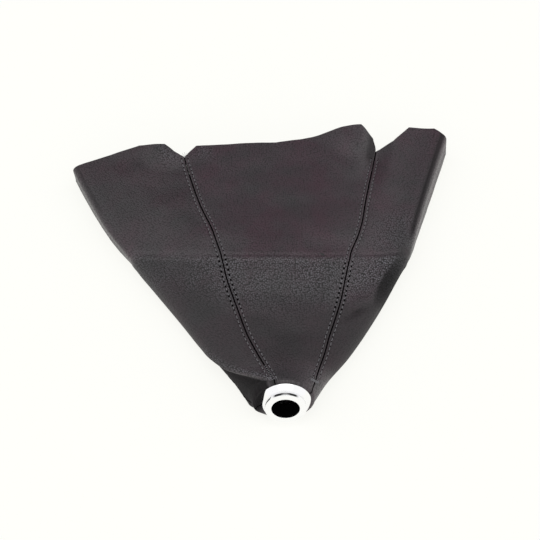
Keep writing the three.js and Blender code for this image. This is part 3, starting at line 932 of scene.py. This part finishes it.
def panel_faces(nearer, rows):
    """The faces of the panel's closed sheet, and the slot of each."""
    count = len(nearer)
    loop = 2 * count
    faces = []
    slots = []
    base = np.arange(rows - 1) * loop
    for i in range(loop):
        j = (i + 1) % loop
        faces.append(np.stack([base + i, base + j, base + loop + j, base + loop + i], 1))
        slots.append(np.full(rows - 1, strip_slot(i, count, nearer)))
    caps = []
    last = (rows - 1) * loop
    for i in range(count - 1):
        caps.append((i + 1, i, loop - 1 - i, loop - 2 - i))
        caps.append((last + i, last + i + 1, last + loop - 2 - i, last + loop - 1 - i))
    slots.append(np.full(len(caps), CUT_SLOT))
    return np.concatenate(faces + [np.array(caps)]), np.concatenate(slots)


def store(piece, name, kind, key, values):
    """Keeps values with the panel's points, the same on its outer and inner faces."""
    both = np.concatenate([values, values[:, ::-1]], axis=1).astype(np.float32)
    piece.data.attributes.new(name, kind, "POINT").data.foreach_set(key, both.ravel())


def build_panel(name):
    across, at, share, turn, width = panel_grid(name)
    nearer = np.minimum(across, width[:, None] - across)
    doubled = LEATHER * smooth(at, *SEAM_DOUBLED)
    wobble = np.cos(2 * math.pi * at / STITCH_PITCH)
    outer_depth, inner_depth = seam_depths(nearer, doubled, wobble)
    face, normal = skin(share, turn)
    outer = pressed(face - normal * outer_depth[..., None])
    inner = face - normal * inner_depth[..., None]
    points = np.concatenate([outer, inner[:, ::-1]], axis=1).reshape(-1, 3)
    piece = new_mesh(name + "_leather", points, *panel_faces(nearer[-1], len(width)))
    store(piece, "painted_sparkle", "FLOAT", "value", painted_sparkle(share, at))
    store(piece, "painted_shade", "FLOAT", "value", painted_shade(share, at))
    laid_flat = np.stack([across - width[:, None] / 2, at, np.zeros_like(at)], -1) * MM
    store(piece, "unrolled", "FLOAT_VECTOR", "vector", laid_flat)
    shade(piece, LEATHER_SHARP)
    for look in (LEATHER_LOOK, BACKING_LOOK, EDGE_LOOK, HOLE_AND_GROOVE_SHADE_LOOK):
        piece.data.materials.append(look)
    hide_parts(name)
    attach(piece, "root")
    steps = np.linalg.norm(np.diff(outer, axis=0), axis=2)
    cut_width = width + 2 * ALLOWANCE
    cut_area = np.sum(steps.mean(axis=1) * (cut_width[1:] + cut_width[:-1]) / 2)
    flat = (float(cut_width.max()) * MM, float(steps.sum(axis=0).max()) * MM)
    return piece, flat, float(cut_area) * MM * MM


# Threads: each stitch is a short round strand that rises out of one hole and dives into the next
def repeated(faces, times, offset):
    """The same faces again and again, each time for the next points."""
    return [tuple(index + offset * k for index in face) for k in range(times) for face in faces]


def strands(points, normals, radii):
    """Closed tubes, one along each row of points."""
    ahead = unit(np.gradient(points, axis=1))
    side = unit(np.cross(ahead, normals))
    up = np.cross(side, ahead)
    angle = np.linspace(0, 2 * math.pi, STRAND_SIDES, endpoint=False)[:, None]
    spokes = np.cos(angle) * side[:, :, None] + np.sin(angle) * up[:, :, None]
    rings = points[:, :, None] + spokes * np.broadcast_to(radii, points.shape[:2])[:, :, None, None]
    last = (STRAND_STEPS - 1) * STRAND_SIDES
    faces = []
    for r in range(0, last, STRAND_SIDES):
        for k in range(STRAND_SIDES):
            n = (k + 1) % STRAND_SIDES
            faces.append((r + k, r + STRAND_SIDES + k, r + STRAND_SIDES + n, r + n))
    faces.append(tuple(range(STRAND_SIDES)))
    faces.append(tuple(last + k for k in reversed(range(STRAND_SIDES))))
    return rings.reshape(-1, 3), repeated(faces, len(points), last + STRAND_SIDES)


def gather(parts):
    """Joins lists of points and faces into one, pressed flat where the gaiter lies on them."""
    faces = []
    offset = 0
    for points, own in parts:
        faces += [tuple(index + offset for index in face) for face in own]
        offset += len(points)
    return pressed(np.concatenate([points for points, _ in parts]), THREAD_LOWEST), faces


def seam_line(seam, offset, start, end):
    """A line beside a seam, evenly stepped: its shares and distances behind the neck."""
    at = np.arange(start, end, LINE_STEP)
    share = along(SEAMS, seam, at) + offset / girth(at)
    point = dressed(share, turn_at(at))
    length = np.concatenate([[0.0], np.cumsum(np.linalg.norm(np.diff(point, axis=0), axis=1))])
    return share, at, length


def wide_holes(at):
    """Below the crease the leather is stretched, so that the needle holes gape and the thread sinks."""
    return between(at, WIDE_HOLES_START, WIDE_HOLES_END)


def stitch_row(seam, side, start, end, inside=False):
    """The stitches and needle holes along one side of a seam."""
    share, at, length = seam_line(seam, side * STITCH_FROM_SEAM, start, end)
    centre = (np.arange(int(length[-1] / STITCH_PITCH)) + 0.5) * STITCH_PITCH
    run = np.linspace(-1, 1, STRAND_STEPS)
    goal = centre[:, None] + 0.5 * run * STITCH_LENGTH
    goal_at = np.interp(goal, length, at)
    point, normal = skin(np.interp(goal, length, share), turn_at(goal_at))
    rise = np.broadcast_to(STITCH_CROWN - STITCH_DIVE * run ** 4, goal.shape)
    if inside:
        point = point - normal * (2 * LEATHER)
        normal = -normal
    else:
        rise = rise - STITCH_DIP - STITCH_SINKS * wide_holes(goal_at)
    taper = THREAD_RADIUS * (1 - STITCH_TAPER * run ** 4)
    stitches = strands(point + normal * rise[..., None], normal, taper)
    goal = centre + 0.5 * STITCH_PITCH
    hole_at = np.interp(goal, length, at)
    point, normal = skin(np.interp(goal, length, share), turn_at(hole_at))
    radius = HOLE_RADIUS + (WIDE_HOLE_RADIUS - HOLE_RADIUS) * wide_holes(hole_at)
    return stitches, lenses(point, normal, radius)


def lenses(centre, normal, radius):
    """Needle holes as shallow lenses in the leather, near-black as painted shade for the depth of each hole.
    """
    aside = unit(np.cross(normal, [0.0, 1.0, 0.0]))
    other = np.cross(normal, aside)
    angle = np.linspace(0, 2 * math.pi, HOLE_SIDES, endpoint=False)[:, None]
    spokes = np.cos(angle) * aside[:, None] + np.sin(angle) * other[:, None]
    rim = centre[:, None] + radius[:, None, None] * spokes
    ends = np.stack([centre + normal * HOLE_CROWN, centre - normal * HOLE_DEPTH], axis=1)
    faces = []
    for k in range(HOLE_SIDES):
        n = (k + 1) % HOLE_SIDES
        faces.append((k, n, HOLE_SIDES))
        faces.append((n, k, HOLE_SIDES + 1))
    points = np.concatenate([rim, ends], axis=1).reshape(-1, 3)
    return points, repeated(faces, len(centre), HOLE_SIDES + 2)


def crossing(seam, at, first, last, rise, slant):
    """Strands that lie across a seam, from one offset in millimetres to another."""
    at = np.asarray(at, float)[:, None] + slant * np.linspace(0, 1, STRAND_STEPS)
    share = along(SEAMS, seam, at) + np.linspace(first, last, STRAND_STEPS) / girth(at)
    point, normal = skin(share, turn_at(at))
    return strands(point + normal * rise, normal, np.full(STRAND_STEPS, THREAD_RADIUS * CROSSING_THINNER))


def tails(seam):
    """Loose thread ends that stand out of a seam at the hem."""
    run = np.linspace(0, 1, STRAND_STEPS)
    at = np.full(STRAND_STEPS, TAILS_AT)
    root, normal = skin(along(SEAMS, seam, at), turn_at(at))
    curl = np.sin(run * TAIL_CURL_TURN) * TAIL_CURL
    rows = [root + np.stack([aside * run + curl, away * run, up * run + TAIL_RISE], -1)
            for aside, away, up in TAILS]
    return strands(np.array(rows), np.array([normal] * len(rows)), np.linspace(*TAIL_RADII, STRAND_STEPS))


def build_threads():
    """The stitches of each seam, by the seam's name, and the needle holes."""
    extras = {
        "front_left": [crossing("front_left", **LACING), tails("front_left")],
        "front_right": [crossing("front_right", **BAR_TACK)],
    }
    made = {}
    holes = []
    for seam, start in ROW_STARTS.items():
        stitches = []
        for side in (-1, 1):
            row, pits = stitch_row(seam, side, start, ROW_ENDS[seam])
            under, _ = stitch_row(seam, side, start + INSIDE_ROW_STARTS, ROW_ENDS[seam], inside=True)
            stitches += [row, under]
            holes.append(pits)
        stitches += extras.get(seam, [])
        sewn = new_mesh("topstitching_" + seam, *gather(stitches))
        made[seam] = finish_piece(sewn, THREAD_LOOK, THREAD_SHARP)
    made["holes"] = finish_piece(new_mesh("needle_holes", *gather(holes)), HOLE_AND_GROOVE_SHADE_LOOK, THREAD_SHARP)
    return made


def finish_piece(piece, look, sharp):
    shade(piece, sharp)
    piece.data.materials.append(look)
    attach(piece, "root")
    return piece


# The ring and the washer, turned about the neck's axis
NECK_AXIS_AT = np.array([0.0, 0.0, NECK_HEIGHT])
FORWARD = np.array([0.0, -math.cos(NECK_TILT), math.sin(NECK_TILT)])
UPWARD = np.array([0.0, math.sin(NECK_TILT), math.cos(NECK_TILT)])
ASIDE = np.array([1.0, 0.0, 0.0])


def turned(name, profile, segments):
    angle = np.linspace(0, 2 * math.pi, segments, endpoint=False)
    spoke = np.cos(angle)[:, None] * ASIDE + np.sin(angle)[:, None] * UPWARD
    radius, height = np.array(profile).T
    points = NECK_AXIS_AT + spoke[:, None] * radius[None, :, None] + FORWARD * height[None, :, None]
    count = len(profile)
    faces = []
    for s in range(segments):
        t = (s + 1) % segments
        for k in range(count):
            n = (k + 1) % count
            faces.append((s * count + k, s * count + n, t * count + n, t * count + k))
    return new_mesh(name, points.reshape(-1, 3), faces)


def ring_profile():
    washer_back = -LEATHER - 2 * SEAT_GAP - WASHER_THICKNESS
    end = washer_back - 2 * SEAT_GAP - BEAD
    valley = FLANGE_HEIGHT - VALLEY_DEPTH
    bead = [(BARREL_RADIUS + BEAD / 2 * (1 + math.sin(turn)), end + BEAD / 2 * (1 - math.cos(turn)))
            for turn in np.linspace(0, math.pi, 7)]
    bore = [(BORE_RADIUS + BORE_ROUND * part, LIP_HEIGHT - BORE_ROUND * rest)
            for part, rest in ((1, 0), (0.5, 0.13), (0.13, 0.5), (0, 1))]
    lip = [(LIP_RADIUS - LIP_CROWN * (1 - math.cos(turn)), LIP_HEIGHT - LIP_CROWN * (1 - math.sin(turn)))
           for turn in np.linspace(0, math.pi / 2, ROUND_STEPS)]
    crown = [(FLANGE_RADIUS - aside, SEAT_GAP + up) for aside, up in FLANGE_SLOPE]
    return [
        (BARREL_RADIUS, SEAT_GAP),
        (FLANGE_RADIUS - RIM_CHAMFER, SEAT_GAP),
        (FLANGE_RADIUS, SEAT_GAP + RIM_CHAMFER),
        *crown,
        (VALLEY_RADIUS + VALLEY_FLOOR, valley),
        (VALLEY_RADIUS - VALLEY_FLOOR, valley),
        (LIP_RADIUS, valley + FILLET),
        *lip,
        *bore,
        (BORE_RADIUS, end + END_CHAMFER),
        (BORE_RADIUS + END_CHAMFER, end),
        *bead,
        (BARREL_RADIUS, end + BEAD + FILLET),
    ]


def washer_profile():
    front = -LEATHER - SEAT_GAP
    back = front - WASHER_THICKNESS
    inner = WASHER_BORE + RIM_CHAMFER
    outer = WASHER_RADIUS - RIM_CHAMFER
    return [
        (WASHER_BORE, front - RIM_CHAMFER), (WASHER_BORE, back + RIM_CHAMFER), (inner, back),
        (outer, back), (WASHER_RADIUS, back + RIM_CHAMFER), (WASHER_RADIUS, front - RIM_CHAMFER),
        (outer, front), (inner, front),
    ]


def build_ring():
    ring = turned("neck_ring_turned", ring_profile(), RING_SEGMENTS)
    finish_piece(ring, CHROME_LOOK, METAL_SHARP)
    ring.data.materials.append(BORE_SHADE_LOOK)
    middles = np.array([face.center for face in ring.data.polygons]) / MM - np.array([NECK_X, NECK_Y, 0.0])
    height = (middles - NECK_AXIS_AT) @ FORWARD
    radius = np.linalg.norm(middles - NECK_AXIS_AT - height[:, None] * FORWARD, axis=1)
    in_bore = (radius < BORE_RADIUS + IN_BORE) & (height < LIP_HEIGHT - BORE_ROUND)
    ring.data.polygons.foreach_set("material_index", in_bore.astype(np.int32))
    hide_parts("neck_ring")
    washer = turned("retaining_washer_turned", washer_profile(), WASHER_SEGMENTS)
    finish_piece(washer, STEEL_LOOK, METAL_SHARP)
    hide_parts("retaining_washer")


# The studio
FLOOR_SIZE = 8.0
FLOOR_BELOW = 0.0002
FLOOR_GLOW = 1.06
FLOOR_TINT = (1.0, 1.0, 0.955, 1)
FLOOR_SHOWS = 0.8


def floor_material():
    """White to the camera and in reflections, yet it keeps the shadow under the gaiter."""
    look = Look("floor_white")
    look.set({"Base Color": (0.86, 0.86, 0.86, 1), "Roughness": 0.9, "Specular IOR Level": 0.0})
    glow = look.add("ShaderNodeEmission", Strength=FLOOR_GLOW, Color=FLOOR_TINT)
    rays = look.add("ShaderNodeLightPath").outputs
    seen = look.maths("MAXIMUM", rays["Is Camera Ray"], rays["Is Glossy Ray"])
    mix = look.add("ShaderNodeMixShader", Fac=look.maths("MULTIPLY", seen, FLOOR_SHOWS))
    look.feed(mix.inputs[1], look.shader.outputs["BSDF"])
    look.feed(mix.inputs[2], glow.outputs["Emission"])
    look.feed(look.nodes["Material Output"].inputs["Surface"], mix.outputs["Shader"])
    return look.material


# The room's stretches of other light, by the degrees up from the horizon at its back: nearly black low
# down, dim from there to past the zenith, and the soft box overhead. Each has its light, where it
# starts and ends, and over which sideways part of the direction it fades.
STRETCHES = [
    (0.03, (7, 10), (43, 48), (0.66, 0.8)),
    (0.5, (43, 48), (92, 97), (0.38, 0.5)),
    (2.6, (80, 86), (97, 104), (0.3, 0.55)),
]


def build_world():
    """A white room whose back is dark between the horizon and the ceiling."""
    world = bpy.data.worlds.new("studio")
    graph = Graph(world)
    direction = graph.add("ShaderNodeTexCoord").outputs["Generated"]
    parts = graph.add("ShaderNodeSeparateXYZ", Vector=direction).outputs
    aside = graph.maths("ABSOLUTE", parts["X"])
    angle = graph.maths("ARCTAN2", parts["Z"], parts["Y"])

    def fade(source, span):
        return graph.ranged(source, *span, "From", interpolation_type="SMOOTHSTEP")

    light = 1.0
    for level, start, end, width in STRETCHES:
        band = graph.maths("SUBTRACT", fade(angle, np.radians(start)), fade(angle, np.radians(end)))
        inside = graph.maths("SUBTRACT", 1.0, fade(aside, width))
        missing = graph.maths("MULTIPLY", 1.0 - level, graph.maths("MULTIPLY", band, inside))
        light = graph.maths("SUBTRACT", light, missing)
    background = graph.nodes["Background"]
    background.inputs["Color"].default_value = (1, 1, 1, 1)
    graph.feed(background.inputs["Strength"], light)
    bpy.context.scene.world = world


def build_studio():
    bpy.ops.mesh.primitive_plane_add(size=FLOOR_SIZE, location=(0, 0, -FLOOR_BELOW))
    floor = bpy.context.object
    floor.name = "studio_floor"
    floor.data.materials.append(floor_material())
    build_world()


def build_camera():
    data = bpy.data.cameras.new("camera")
    data.sensor_width = 36
    data.lens = CAMERA_LENS
    data.clip_start = 0.01
    camera = bpy.data.objects.new("camera", data)
    bpy.context.scene.collection.objects.link(camera)
    aim = Vector(metres(AIM_FROM_NECK))
    down = Vector((0, math.cos(CAMERA_DOWN), -math.sin(CAMERA_DOWN)))
    camera.location = aim - down * CAMERA_DISTANCE * MM
    camera.rotation_euler = down.to_track_quat("-Z", "Y").to_euler()
    bpy.context.scene.camera = camera


build_camera()
panels = {panel_name: build_panel(panel_name) for panel_name in PANELS}
threads = build_threads()
build_ring()
build_studio()
bpy.context.scene.view_settings.view_transform = "Standard"
